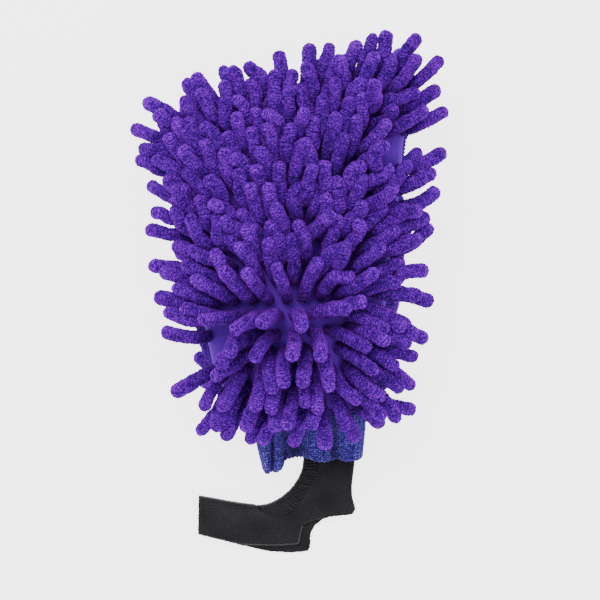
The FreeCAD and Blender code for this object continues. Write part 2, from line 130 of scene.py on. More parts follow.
def build_mesh(name, points, quads=None, polygons=(), attributes=None):
    """A mesh object from design points, an array of quads and a list of other polygons."""
    mesh = bpy.data.meshes.new(name)
    points = to_frame(points)
    loops, starts, totals = [], [], []
    filled = 0
    if quads is not None and len(quads):
        quads = np.asarray(quads, np.int32)
        loops.append(quads.ravel())
        starts.append(np.arange(len(quads), dtype=np.int32) * 4)
        totals.append(np.full(len(quads), 4, np.int32))
        filled = quads.size
    for group in polygons:
        group = np.asarray(group, np.int32)
        count, sides = group.shape
        loops.append(group.ravel())
        starts.append(filled + np.arange(count, dtype=np.int32) * sides)
        totals.append(np.full(count, sides, np.int32))
        filled += group.size
    loops, starts = np.concatenate(loops), np.concatenate(starts)
    mesh.vertices.add(len(points))
    mesh.vertices.foreach_set("co", points.astype(np.float32).ravel())
    mesh.loops.add(len(loops))
    mesh.loops.foreach_set("vertex_index", loops)
    mesh.polygons.add(len(starts))
    mesh.polygons.foreach_set("loop_start", starts)
    mesh.polygons.foreach_set("use_smooth", np.full(len(starts), True))
    for key, values in (attributes or {}).items():
        layer = mesh.attributes.new(key, "FLOAT", "POINT")
        layer.data.foreach_set("value", np.asarray(values, np.float32).ravel())
    mesh.update()
    mesh.validate()
    return put_in_scene(name, mesh)


def grid_quads(rows, columns, closed, first=0):
    """Quads of a grid of points; closed joins the last column to the first."""
    r = np.arange(rows - 1)[:, None]
    c = np.arange(columns if closed else columns - 1)[None, :]
    after = (c + 1) % columns
    here, above = r * columns, (r + 1) * columns
    return np.stack([here + c, here + after, above + after, above + c], -1).reshape(-1, 4) + first


def tube_ends(rings, around):
    """The two end faces of a tube of points, rings by around."""
    first = np.arange(around)
    return np.stack([first[::-1], (rings - 1) * around + first])


def grid_normals(grid, closed):
    """Unit normals of a grid of points, rows by columns by 3."""
    along = np.gradient(grid, axis=0)
    if closed:
        across = np.roll(grid, -1, 1) - np.roll(grid, 1, 1)
    else:
        across = np.gradient(grid, axis=1)
    normal = np.cross(across, along)
    return normal / np.maximum(np.linalg.norm(normal, axis=-1, keepdims=True), 1e-9)


def shell(name, outer, inner, closed, attributes=None):
    """A thick cloth between an outer and an inner grid of the same size, its open borders closed."""
    rows, columns = outer.shape[:2]
    count = rows * columns
    front = grid_quads(rows, columns, closed)
    back = grid_quads(rows, columns, closed, count)[:, ::-1]
    rims = []
    for row in (0, rows - 1):
        line = row * columns + np.arange(columns)
        after = np.roll(line, -1) if closed else line[1:]
        line = line if closed else line[:-1]
        rim = np.stack([line, after, after + count, line + count], -1)
        rims.append(rim[:, ::-1] if row == 0 else rim)
    if not closed:
        for column in (0, columns - 1):
            line = np.arange(rows) * columns + column
            rim = np.stack([line[:-1], line[1:], line[1:] + count, line[:-1] + count], -1)
            rims.append(rim if column == 0 else rim[:, ::-1])
    points = np.concatenate([outer.reshape(-1, 3), inner.reshape(-1, 3)])
    doubled = {k: np.concatenate([v.ravel(), v.ravel()]) for k, v in (attributes or {}).items()}
    return build_mesh(name, points, np.concatenate([front, back] + rims), attributes=doubled)


def smooth_step(value, low, high):
    share = np.clip((value - low) / (high - low), 0, 1)
    return share * share * (3 - 2 * share)


def soft_noise(shape, cells, seed, wrap_columns=True):
    """Smooth random numbers from -1 to 1 on a grid, about cells points to a blob."""
    local = np.random.default_rng(seed)
    rows, columns = shape
    coarse_rows, coarse_columns = max(int(rows / cells) + 3, 4), max(int(columns / cells), 3)
    coarse = local.uniform(-1, 1, (coarse_rows, coarse_columns + (0 if wrap_columns else 3)))
    r = np.linspace(0, coarse_rows - 2.001, rows)
    c = np.arange(columns) / columns * coarse_columns
    r0, c0 = r.astype(int), c.astype(int)
    fr, fc = r - r0, c - c0
    fr, fc = fr * fr * (3 - 2 * fr), fc * fc * (3 - 2 * fc)
    wide = coarse.shape[1]
    a, b = coarse[r0][:, c0 % wide], coarse[r0][:, (c0 + 1) % wide]
    d, e = coarse[r0 + 1][:, c0 % wide], coarse[r0 + 1][:, (c0 + 1) % wide]
    fr, fc = fr[:, None], fc[None, :]
    return (a * (1 - fc) + b * fc) * (1 - fr) + (d * (1 - fc) + e * fc) * fr


# ------------------------------------------------------------------ chenille noodles
def node_points(node):
    co = np.empty(len(node.data.vertices) * 3, np.float32)
    node.data.vertices.foreach_get("co", co)
    return co.reshape(-1, 3).astype(float)


def loose_solids(node):
    """The points of each separate solid of a CAD node, in design millimetres."""
    points = node_points(node)
    ends = np.empty(len(node.data.edges) * 2, np.int32)
    node.data.edges.foreach_get("vertices", ends)
    _, same = np.unique(np.round(points / (0.02 * MM)).astype(np.int64), axis=0, return_inverse=True)
    same = same.ravel()
    a, b = same[ends.reshape(-1, 2)].T
    label = np.arange(same.max() + 1)
    while True:
        lowest = label.copy()
        np.minimum.at(lowest, a, label[b])
        np.minimum.at(lowest, b, label[a])
        lowest = lowest[lowest]
        if (lowest == label).all():
            break
        label = lowest
    owner = label[same]
    return [points[owner == k] / MM - SHIFT for k in np.unique(owner)]


def root_and_tip(points):
    """The two end points of a noodle solid; the root end is the thicker one."""
    middle = points.mean(0)
    axis = np.linalg.svd(points - middle, full_matrices=False)[2][0]
    along = (points - middle) @ axis
    radius = np.linalg.norm(points - middle - along[:, None] * axis, axis=1)
    half = (along.max() + along.min()) / 2
    if radius[along > half].max() > radius[along < half].max():
        axis, along = -axis, -along
    return middle + axis * along.min(), middle + axis * along.max()


row_names = sorted(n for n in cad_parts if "_noodles_row_" in n)
roots, tips, owner_row = [], [], []
for name in row_names:
    for points in loose_solids(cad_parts[name]):
        root, tip = root_and_tip(points)
        roots.append(root)
        tips.append(tip)
        owner_row.append(name)
roots, tips, owner_row = np.array(roots), np.array(tips), np.array(owner_row)
noodle_count = len(roots)
JOINTS = 8
# Height above which a point belongs to the palm side's pile.
BAG_BELLY = 30
# Places where the pile parts and the ground cloth shows: x, y and radius.
PARTINGS = ((-52.0, -30.0, 8.0), (55.0, 93.0, 7.0), (30.0, 20.0, 6.0))
PARTING_PUSH = 0.25
# Distance at which joints of two noodles count as neighbours, and rounds of pushing them apart.
NEIGHBOUR_REACH, PUSH_ROUNDS = 17.0, 90
# The line on the palm side where the pile changes over from lying up to lying down, the
# distance over which it does so and how strongly the noodles lean away from it.
CROWN = ((-61.0, -34.0), (-34.0, -8.0), (0.0, 6.0), (34.0, 10.0), (61.0, 17.0))
CROWN_WIDTH, CROWN_LEAN = 9.0, 0.65


def bag_section(points, table):
    """Middle, half sizes and turn of the bag or cuff at each point."""
    table = table[np.argsort(table[:, 1])]
    y = points[..., 1].copy()
    for _ in range(2):
        turn = np.radians(np.interp(y, table[:, 1], table[:, 3]))
        middle_x = np.interp(y, table[:, 1], table[:, 0])
        y = points[..., 1] - (points[..., 0] - middle_x) * np.tan(turn)
    return [np.interp(y, table[:, 1], table[:, k]) for k in (0, 2, 3, 4, 5)] + [y]


def keep_outside(points, table, gap):
    """Moves points that are inside a bag-like tube out through its nearest side."""
    middle_x, middle_z, turn, half_width, half_height, y = bag_section(points, table)
    inside_y = (y > table[:, 1].min() - gap) & (y < table[:, 1].max() + gap * 0.5)
    across = (points[..., 0] - middle_x) / np.cos(np.radians(turn)) / (half_width + gap)
    up = (points[..., 2] - middle_z) / (half_height + gap)
    reach = np.sqrt(across ** 2 + up ** 2)
    push = np.where(inside_y & (reach < 1) & (reach > 0.3), 1 / np.maximum(reach, 0.3), 1.0)
    points[..., 0] += (points[..., 0] - middle_x) * (push - 1)
    points[..., 2] += (points[..., 2] - middle_z) * (push - 1)


def part_pile(points):
    """Moves the palm side's points sideways out of the partings."""
    for x, y, radius in PARTINGS:
        away = points[..., :2] - np.array([x, y])
        distance = np.linalg.norm(away, axis=-1, keepdims=True)
        inside = (distance < radius) & (points[..., 2:3] > BAG_BELLY)
        points[..., :2] += away * np.where(inside, radius / np.maximum(distance, 0.5) - 1, 0) * PARTING_PUSH


def bend_pile():
    """Centre lines of all noodles, bent at random, then pushed apart until they only just touch."""
    axis = tips - roots
    full = np.linalg.norm(axis, axis=1, keepdims=True)
    axis = axis / full
    share = np.linspace(0, 1, JOINTS)[None, :, None]
    reach = full[:, :, None] - PILE_RADIUS
    # The palm side's noodles flop over along the way that they already lean.
    way = np.repeat(axis[:, None, :], JOINTS, axis=1)
    palm_side = axis[:, None, 2:3] > 0
    flop = np.where(palm_side, share, 0.0)
    give = rng.uniform(0.50, 0.95, (noodle_count, 1, 1))
    way[..., 2:3] *= 1 - give * flop
    way[..., :2] *= 1 + 0.50 * flop
    crown_x, crown_y = np.array(CROWN).T
    above = np.tanh((roots[:, 1] - np.interp(roots[:, 0], crown_x, crown_y)) / CROWN_WIDTH)
    way[..., 1:2] += flop * CROWN_LEAN * above[:, None, None]
    # Each noodle also swings to one side of its neighbours as it flops.
    swing = np.radians(rng.normal(0, 10, (noodle_count, 1, 1)).clip(-22, 22)) * share
    swing = np.where(palm_side, swing, swing * 0.4)
    x, y, z = way[..., :1], way[..., 1:2], way[..., 2:3]
    sine, cosine = np.sin(swing), np.cos(swing)
    way = unit(np.concatenate([x * cosine - y * sine, x * sine + y * cosine, z], axis=2))
    steps = (way[:, 1:] + way[:, :-1]) / 2 * reach / (JOINTS - 1)
    start = np.zeros((noodle_count, 1, 3))
    lines = np.concatenate([start, np.cumsum(steps, axis=1)], axis=1) + roots[:, None, :]
    side = rng.normal(size=(noodle_count, 3))
    side = unit(side - (side * axis).sum(1, keepdims=True) * axis)
    amount = np.minimum(np.abs(rng.normal(0, 8.5, (noodle_count, 1, 1))), 18.0)
    wave = rng.uniform(-1, 1, (noodle_count, 1, 1)) * 2.2 * np.sin(share * math.pi)
    lines = lines + side[:, None, :] * (amount * share ** 1.6 + wave)
    # Noodles that stick out sideways over nothing sink a little under their own weight.
    free = smooth_step(np.abs(axis[:, 2:3, None]), 0.75, 0.2)
    lines[..., 2:3] -= free * 7.5 * share ** 2
    rest = lines.copy()
    step = np.broadcast_to(reach / (JOINTS - 1), (noodle_count, JOINTS - 1, 1))
    flat = lines.reshape(-1, 3)
    tree = kdtree.KDTree(len(flat))
    for index, point in enumerate(flat):
        tree.insert(Vector(point), index)
    tree.balance()
    left, right = [], []
    for index, point in enumerate(flat):
        for _, other, _ in tree.find_range(Vector(point), NEIGHBOUR_REACH):
            if other > index and other // JOINTS != index // JOINTS:
                left.append(index)
                right.append(other)
    left, right = np.array(left), np.array(right)
    weight = np.tile(np.linspace(0, 1, JOINTS) ** 0.7, noodle_count)
    least = 2 * PILE_RADIUS * 0.95
    for _ in range(PUSH_ROUNDS):
        flat = lines.reshape(-1, 3)
        gap = flat[left] - flat[right]
        distance = np.linalg.norm(gap, axis=1)
        short = np.maximum(least - distance, 0) * 0.30
        move = gap / np.maximum(distance, 1e-6)[:, None] * short[:, None]
        total = np.zeros_like(flat)
        np.add.at(total, left, move * weight[left][:, None])
        np.add.at(total, right, -move * weight[right][:, None])
        lines = (flat + total).reshape(lines.shape)
        lines += (rest - lines) * 0.02
        part_pile(lines[:, 2:])
        keep_outside(lines[:, 2:], BAG, PILE_RADIUS * 0.95)
        keep_outside(lines[:, 2:], CUFF, PILE_RADIUS * 0.9)
        lines[..., 2] = np.maximum(lines[..., 2], PILE_RADIUS * 1.12)
        lines[:, 0] = rest[:, 0]
        for k in range(1, JOINTS):
            link = lines[:, k] - lines[:, k - 1]
            length = np.linalg.norm(link, axis=1, keepdims=True)
            lines[:, k] = lines[:, k - 1] + link / length * step[:, k - 1]
    return lines


AROUND = 40
BODY_RINGS = 58
CAP_RINGS = 12
# Number of different chenille surfaces that the noodles share.
RELIEF_KINDS = 24


def pile_relief(seed):
    """Height of the chenille's surface over one noodle, rings by points around it."""
    rings = BODY_RINGS + CAP_RINGS
    shape = (rings, AROUND)
    local = np.random.default_rng(seed)
    fine = soft_noise(shape, 1.4, seed * 5 + 1) * 0.26
    tufts = soft_noise(shape, 2.6, seed * 5 + 2) * 0.26
    lumps = soft_noise(shape, 9.0, seed * 5 + 3) * 0.32
    ring = np.arange(rings)[:, None] * (36.0 / rings)
    wobble = soft_noise(shape, 7.0, seed * 5 + 4) * 0.9
    ridge = np.sin((ring + wobble + local.uniform(0, 3)) * 2 * math.pi / local.uniform(1.5, 2.1))
    patch = smooth_step(soft_noise(shape, 12.0, seed * 5 + 5), -0.2, 0.7)
    return fine + tufts + lumps + np.minimum(ridge, 0.35) * 0.30 * patch


def noodle_surfaces(lines):
    """Points of every noodle's surface, noodles by rings by around by 3, how far along each ring
    is, and the relief."""
    centre = smooth_curve(lines, np.linspace(0, JOINTS - 1 - 1e-6, BODY_RINGS))
    tangent = unit(np.gradient(centre, axis=1))
    upright = np.abs(tangent[:, :1, 2:3]) > 0.9
    helper = np.where(upright, np.array([1.0, 0, 0]), np.array([0, 0, 1.0]))
    side = unit(np.cross(tangent[:, 0], helper[:, 0]))
    sides = [side]
    for k in range(1, BODY_RINGS):
        side = unit(side - (side * tangent[:, k]).sum(1, keepdims=True) * tangent[:, k])
        sides.append(side)
    side = np.stack(sides, 1)
    other = np.cross(tangent, side)
    share = np.linspace(0, 1, BODY_RINGS)
    size = rng.normal(1.0, 0.055, (len(lines), 1)).clip(0.88, 1.13)
    taper = 0.80 + 0.20 * smooth_step(share, 0.0, 0.35)
    club = rng.uniform(-0.03, 0.07, (len(lines), 1)) * smooth_step(share, 0.5, 0.95)
    waist = rng.uniform(-0.05, 0.05, (len(lines), 1))
    waist = waist * np.sin(share * math.pi * 2 + rng.uniform(0, 6, (len(lines), 1)))
    radius = PILE_RADIUS * size * (taper + club + waist)
    lean = np.radians(np.linspace(0, 88.5, CAP_RINGS + 1)[1:])
    end_radius = radius[:, -1:]
    radius = np.concatenate([radius, end_radius * np.cos(lean)], 1)
    blunt = rng.uniform(0.85, 1.15, (len(lines), 1))
    cap_centre = centre[:, -1:] + tangent[:, -1:] * (end_radius * np.sin(lean) * blunt)[..., None]
    centre = np.concatenate([centre, cap_centre], 1)
    repeat = np.concatenate([np.arange(BODY_RINGS), np.full(CAP_RINGS, BODY_RINGS - 1)])
    side, other, tangent = side[:, repeat], other[:, repeat], tangent[:, repeat]
    angle = np.arange(AROUND) / AROUND * 2 * math.pi
    out = side[:, :, None] * np.cos(angle)[:, None] + other[:, :, None] * np.sin(angle)[:, None]
    tilt = np.concatenate([np.zeros(BODY_RINGS), lean])
    push = out * np.cos(tilt)[:, None, None] + tangent[:, :, None] * np.sin(tilt)[:, None, None]
    reliefs = np.stack([pile_relief(seed) for seed in range(RELIEF_KINDS)])
    pick = rng.integers(0, len(reliefs), len(lines))
    relief = reliefs[pick]
    roll = rng.integers(0, AROUND, len(lines))
    relief = np.stack([np.roll(r, k, axis=1) for r, k in zip(relief, roll)])
    relief[:, :3] *= 0.3
    surface = centre[:, :, None] + out * radius[:, :, None, None] + push * relief[..., None]
    along = np.concatenate([share * 0.9, 0.9 + 0.1 * np.sin(lean)])
    return surface, np.broadcast_to(along[None, :, None], surface.shape[:3]), relief


def pile_row_mesh(name, surface, along, relief, tone):
    """One mesh of all the noodles that share a CAD row."""
    count, rings, around = surface.shape[:3]
    one = grid_quads(rings, around, True)
    offsets = (np.arange(count) * rings * around)[:, None, None]
    quads = (one[None] + offsets).reshape(-1, 4)
    ends = (tube_ends(rings, around)[None] + offsets).reshape(-1, around)
    tones = np.broadcast_to(tone[:, None, None], surface.shape[:3])
    return build_mesh(name, surface.reshape(-1, 3), quads, [ends],
                      attributes={"along": along, "tone": tones, "relief": relief})


# ------------------------------------------------------------------ materials
def material(name):
    made = bpy.data.materials.new(name)
    made.use_nodes = True
    tree = made.node_tree
    shader = tree.nodes["Principled BSDF"]
    return made, tree, shader


def add(tree, kind, **settings):
    node = tree.nodes.new(kind)
    for key, value in settings.items():
        if key in node.inputs:
            node.inputs[key].default_value = value
        else:
            setattr(node, key, value)
    return node


def ramp(tree, source, stops):
    node = tree.nodes.new("ShaderNodeValToRGB")
    while len(node.color_ramp.elements) < len(stops):
        node.color_ramp.elements.new(0.5)
    for element, (place, colour) in zip(node.color_ramp.elements, stops):
        element.position = place
        element.color = (*colour, 1)
    tree.links.new(source, node.inputs["Fac"])
    return node.outputs["Color"]


def math_node(tree, operation, first, second=None, third=None):
    node = add(tree, "ShaderNodeMath", operation=operation)
    for slot_index, value in enumerate((first, second, third)):
        if value is None:
            continue
        if isinstance(value, (int, float)):
            node.inputs[slot_index].default_value = value
        else:
            tree.links.new(value, node.inputs[slot_index])
    return node.outputs[0]


def mixed(tree, factor, first, second, blend="MIX"):
    node = tree.nodes.new("ShaderNodeMix")
    node.data_type, node.blend_type = "RGBA", blend
    for key, value in ((0, factor), (6, first), (7, second)):
        if isinstance(value, (int, float)):
            node.inputs[key].default_value = value
        elif isinstance(value, tuple):
            node.inputs[key].default_value = (*value, 1)
        else:
            tree.links.new(value, node.inputs[key])
    return node.outputs[2]


def times(tree, first, second):
    return math_node(tree, "MULTIPLY", first, second)


def shaded(tree, colour, source, stops):
    """A colour multiplied by a ramp."""
    return mixed(tree, 1.0, colour, ramp(tree, source, stops), "MULTIPLY")


def attribute(tree, name):
    return add(tree, "ShaderNodeAttribute", attribute_name=name).outputs["Fac"]


def object_noise(tree, scale, detail=2.0, roughness=0.5):
    place = add(tree, "ShaderNodeTexCoord")
    noise_node = add(tree, "ShaderNodeTexNoise", Scale=scale, Detail=detail, Roughness=roughness)
    tree.links.new(place.outputs["Object"], noise_node.inputs["Vector"])
    return noise_node.outputs["Fac"]


def granules(tree, scale):
    """Distance to the nearest of many scattered tuft centres, 0 on a tuft and about 0.7 between them."""
    place = add(tree, "ShaderNodeTexCoord")
    cells = add(tree, "ShaderNodeTexVoronoi", feature="SMOOTH_F1", Scale=scale, Smoothness=0.35)
    tree.links.new(place.outputs["Object"], cells.inputs["Vector"])
    return cells.outputs["Distance"]


def knit_stitches(tree):
    """Height of plain knit from 0 to 1: small V stitches, counted by two attributes of the mesh."""
    inside_column = math_node(tree, "FRACT", attribute(tree, "column"))
    off_middle = math_node(tree, "ABSOLUTE", math_node(tree, "SUBTRACT", inside_column, 0.5))
    slanted = math_node(tree, "ADD", attribute(tree, "course"), times(tree, off_middle, 1.1))
    loop = math_node(tree, "SINE", times(tree, math_node(tree, "FRACT", slanted), math.pi))
    rounded_column = math_node(tree, "SINE", times(tree, inside_column, math.pi))
    return times(tree, loop, math_node(tree, "POWER", rounded_column, 0.5))


def cloth_finish(shader, sheen_colour, sheen, roughness=0.9, specular=0.2, sheen_roughness=0.5):
    """How a cloth shines."""
    shader.inputs["Roughness"].default_value = roughness
    shader.inputs["Specular IOR Level"].default_value = specular
    shader.inputs["Sheen Weight"].default_value = sheen
    shader.inputs["Sheen Roughness"].default_value = sheen_roughness
    shader.inputs["Sheen Tint"].default_value = (*sheen_colour, 1)


def cloth_surface(tree, shader, colour, height, distance, strength):
    """The colour of a cloth and its fine relief."""
    tree.links.new(colour, shader.inputs["Base Color"])
    node = add(tree, "ShaderNodeBump", Distance=distance, Strength=strength)
    tree.links.new(height, node.inputs["Height"])
    tree.links.new(node.outputs["Normal"], shader.inputs["Normal"])


def chenille_material():
    """Violet microfibre pile with a soft sheen; painted shade at the roots, between the tufts, in low
    relief and in the cross ridges, painted highlight on the tops.
    """
    made, tree, shader = material("violet_chenille")
    along = attribute(tree, "along")
    tone = attribute(tree, "tone")
    # Painted shade: the pile's colour darkens towards each noodle's root.
    colour = ramp(tree, along, [(0.0, (0.046, 0.001, 0.155)), (0.35, (0.150, 0.001, 0.48)),
                                (1.0, (0.270, 0.001, 0.82))])
    # Painted shade on the low spots of the relief and painted highlight on its raised spots.
    raised = math_node(tree, "MULTIPLY_ADD", attribute(tree, "relief"), 1.1, 0.5)
    colour = shaded(tree, colour, raised, [(0.15, (0.50, 0.42, 0.58)), (0.55, (0.98, 0.95, 0.98)),
                                           (1.0, (1.25, 1.15, 1.15))])
    # Painted shade between the tufts and painted highlight on them.
    tuft = granules(tree, 820)
    colour = shaded(tree, colour, tuft, [(0.10, (1.28, 1.0, 1.20)), (0.34, (1.08, 0.9, 1.08)),
                                         (0.60, (0.33, 0.2, 0.42))])
    colour = shaded(tree, colour, tone, [(0.0, (0.86, 0.84, 0.90)), (1.0, (1.12, 1.12, 1.08))])
    # Cross ridges about 1.5 mm apart, broken up by noise, with painted shade in their grooves and painted
    # highlight on their crests.
    wander = times(tree, object_noise(tree, 150, 2.0, 0.5), 3.0)
    turns = math_node(tree, "ADD", times(tree, along, 24.0), wander)
    ridge = math_node(tree, "SINE", times(tree, turns, 2 * math.pi))
    lit = math_node(tree, "MULTIPLY_ADD", ridge, 0.5, 0.5)
    colour = shaded(tree, colour, lit, [(0.0, (0.46, 0.36, 0.56)), (0.5, (1.12, 1.06, 1.10))])
    cloth_finish(shader, (0.55, 0.02, 1.0), 0.40, 0.95, 0.05, 0.30)
    height = math_node(tree, "SUBTRACT", object_noise(tree, 2300, 2.0, 0.6), times(tree, tuft, 1.6))
    height = math_node(tree, "ADD", height, times(tree, ridge, 0.22))
    cloth_surface(tree, shader, colour, height, 0.0008, 0.8)
    return made


def cloth_material(name, colours, fine, bump_size, sheen_colour, sheen=0.25):
    """A matt cloth: a ramp of colours over fine noise."""
    made, tree, shader = material(name)
    mottled = ramp(tree, object_noise(tree, fine, 3.0, 0.6), colours)
    cloth_finish(shader, sheen_colour, sheen)
    cloth_surface(tree, shader, mottled, object_noise(tree, fine * 1.7, 2.0, 0.6), bump_size, 0.5)
    return made


def knit_material(name, colours, gap, top, sheen_colour, sheen, depth):
    """Plain knit: mottled yarn, with painted shade in the gaps between stitches and in the cloth's valleys
    and painted highlight on the stitch tops and crests.
    """
    made, tree, shader = material(name)
    yarn = ramp(tree, object_noise(tree, 800, 3.0, 0.65), colours)
    stitches = knit_stitches(tree)
    level = (0.95, 0.95, 0.95)
    # Painted shade in the gaps between stitches and painted highlight on their tops.
    yarn = shaded(tree, yarn, stitches, [(0.0, gap), (0.55, level), (1.0, top)])
    # Painted shade in the valleys of the relief and painted highlight on its crests.
    yarn = shaded(tree, yarn, attribute(tree, "relief"),
                  [(0.0, (0.22, 0.20, 0.27)), (0.5, level), (1.0, (1.5, 1.5, 1.45))])
    cloth_finish(shader, sheen_colour, sheen)
    fuzz = times(tree, object_noise(tree, 2200, 2.0, 0.6), 0.6)
    height = math_node(tree, "ADD", stitches, fuzz)
    cloth_surface(tree, shader, yarn, height, depth, 0.8)
    return made


def seam_material():
    """Overlock thread: violet like the cloth, and blue where the attribute tint says so."""
    made, tree, shader = material("overlock_seam")
    mottle = object_noise(tree, 1500, 3.0, 0.6)
    violet = ramp(tree, mottle, [(0.3, (0.060, 0.004, 0.24)), (0.7, (0.110, 0.008, 0.42))])
    blue = ramp(tree, mottle, [(0.3, (0.03, 0.07, 0.40)), (0.7, (0.08, 0.20, 0.70))])
    colour = mixed(tree, attribute(tree, "tint"), violet, blue)
    cloth_finish(shader, (0.5, 0.4, 1.0), 0.25)
    cloth_surface(tree, shader, colour, object_noise(tree, 2500, 2.0, 0.6), 0.0002, 0.5)
    return made


CHENILLE = chenille_material()
GROUND = cloth_material("violet_ground_cloth", [(0.25, (0.095, 0.006, 0.36)), (0.75, (0.135, 0.009, 0.50))],
                        1300, 0.0002, (0.5, 0.15, 1.0))
LINING = cloth_material("blue_lining", [(0.3, (0.03, 0.10, 0.45)), (0.7, (0.05, 0.16, 0.62))],
                        900, 0.0002, (0.5, 0.6, 1.0))
SEAM = seam_material()
# In each knit, the colour after the ramp is the painted shade in the stitch gaps, and the one after that is
# the painted highlight on the stitch tops.
CUFF_KNIT = knit_material("indigo_knit", [(0.38, (0.008, 0.003, 0.09)), (0.5, (0.034, 0.016, 0.27)),
                                          (0.64, (0.16, 0.13, 0.68))],
                          (0.10, 0.07, 0.17), (1.45, 1.40, 1.30), (0.5, 0.3, 1.0), 0.18, 0.0007)
SLEEVE_KNIT = knit_material("black_knit", [(0.3, (0.016, 0.0155, 0.018)), (0.7, (0.036, 0.035, 0.039))],
                            (0.28, 0.28, 0.28), (1.8, 1.8, 1.8), (0.8, 0.8, 0.9), 0.12, 0.0006)
SLEEVE_RIB = knit_material("black_rib_knit", [(0.3, (0.014, 0.0135, 0.015)), (0.7, (0.033, 0.032, 0.036))],
                           (0.30, 0.30, 0.30), (1.8, 1.8, 1.8), (0.8, 0.8, 0.9), 0.10, 0.0006)
DARK_THREAD = cloth_material("charcoal_thread",
                             [(0.3, (0.018, 0.018, 0.020)), (0.7, (0.042, 0.042, 0.045))],
                             2500, 0.0001, (0.9, 0.9, 1.0), 0.1)
THREAD = cloth_material("grey_thread", [(0.3, (0.05, 0.05, 0.054)), (0.7, (0.13, 0.13, 0.14))],
                        2500, 0.0001, (0.9, 0.9, 1.0), 0.1)


def dress(thing, stuff, body=None, nodes=()):
    """Gives a piece its material and the body it rides on, and hides the CAD nodes that it stands for."""
    thing.data.materials.clear()
    thing.data.materials.append(stuff)
    if body:
        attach(thing, body)
    if nodes:
        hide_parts(*nodes)
    return thing


# ------------------------------------------------------------------ the pile
lines = bend_pile()
surface, along, relief = noodle_surfaces(lines)
tone = rng.uniform(0, 1, noodle_count)
for name in row_names:
    mine = np.nonzero(owner_row == name)[0]
    side, _, _, number = name.split("_")
    label = "chenille_%s_row_%s" % (side, number)
    piece = pile_row_mesh(label, surface[mine], along[mine], relief[mine], tone[mine])
    dress(piece, CHENILLE, "mitt", [name])

# ------------------------------------------------------------------ ground cloth and lining
ALONG_BAG, AROUND_HALF = ((190, 180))


def station(table, share):
    """Values of a section table at a share of its length, on a smooth curve."""
    return smooth_curve(table, share * (len(table) - 1))


def cad_tree(*nodes):
    """A ray target of some CAD nodes, in design millimetres."""
    points, faces, offset = [], [], 0
    for node in nodes:
        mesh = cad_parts[node].data
        points.append(node_points(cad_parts[node]) / MM - SHIFT)
        mesh.calc_loop_triangles()
        corner = np.empty(len(mesh.loop_triangles) * 3, np.int32)
        mesh.loop_triangles.foreach_get("vertices", corner)
        faces.append(corner.reshape(-1, 3) + offset)
        offset += len(mesh.vertices)
    return BVHTree.FromPolygons(np.concatenate(points).tolist(), np.concatenate(faces).tolist())


BAG_TREE = cad_tree("front_backing", "back_backing")


def half_bag(first_angle, inset):
    """A grid over the front or back half of the bag, a given depth below its CAD surface."""
    rows = station(BAG, np.linspace(0.003, 0.985, ALONG_BAG))
    angles = np.linspace(first_angle + 0.012, first_angle + math.pi - 0.012, AROUND_HALF)
    grid = np.zeros((ALONG_BAG, AROUND_HALF, 3))
    for i, (x, y, z, turn, half_width, half_height) in enumerate(rows):
        turn = math.radians(turn)
        for j, angle in enumerate(angles):
            across, up = math.cos(angle) * half_width, math.sin(angle) * half_height
            spot = Vector((across * math.cos(turn), across * math.sin(turn), up))
            way = spot.normalized()
            start = Vector((x, y, z)) + spot + way * 6
            hit = BAG_TREE.ray_cast(start, -way, 14)[0]
            found = hit if hit is not None else Vector((x, y, z)) + spot
            grid[i, j] = found - way * inset
    return grid


# The way that the bag's finger end points: 14 degrees off the y axis.
FINGER_WAY = np.array([-math.sin(math.radians(14)), math.cos(math.radians(14)), 0.0])


def end_rows(grid, count=7):
    """Closes the finger end of a half bag by drawing its last row in to the seam level."""
    last = grid[-1]
    seam = np.linspace(last[0], last[-1], len(last))
    rows = []
    for k in range(1, count + 1):
        share = k / count
        swell = 1.6 * math.sin(share * math.pi / 2)
        rows.append(last * (1 - share) + seam * share + FINGER_WAY * swell)
    return np.concatenate([grid, np.array(rows)])


def bag_half_piece(name, first_angle, depth, thickness, ripple, seed):
    grid = end_rows(half_bag(first_angle, depth))
    normal = grid_normals(grid, False)
    outward = grid - grid.mean((0, 1))
    if (normal * outward).sum() < 0:
        normal = -normal
    fine = soft_noise(grid.shape[:2], 5.0, seed, False) * 0.35
    relief = fine + soft_noise(grid.shape[:2], 16.0, seed + 1, False)
    outer = grid + normal * (relief * ripple)[..., None]
    inner = grid - normal * thickness
    flip = (np.cross(grid[1, 0] - grid[0, 0], grid[0, 1] - grid[0, 0]) * normal[0, 0]).sum() > 0
    if flip:
        outer, inner = outer[:, ::-1], inner[:, ::-1]
    return shell(name, outer, inner, False)


for side, first_angle in (("front", 0.0), ("back", math.pi)):
    cloth = bag_half_piece("%s_ground_cloth" % side, first_angle, 0.35, 1.4, 0.30, 40)
    dress(cloth, GROUND, "mitt", ["%s_backing" % side])
    inside = bag_half_piece("%s_lining_cloth" % side, first_angle, 2.5, 0.6, 0.15, 50)
    dress(inside, LINING, "mitt", ["%s_lining" % side])


# ------------------------------------------------------------------ seams
# Points around a seam ribbon and around a stitched thread, and along the wrist seam.
RIBBON_AROUND, THREAD_AROUND, WRIST_POINTS = 16, 10, 220


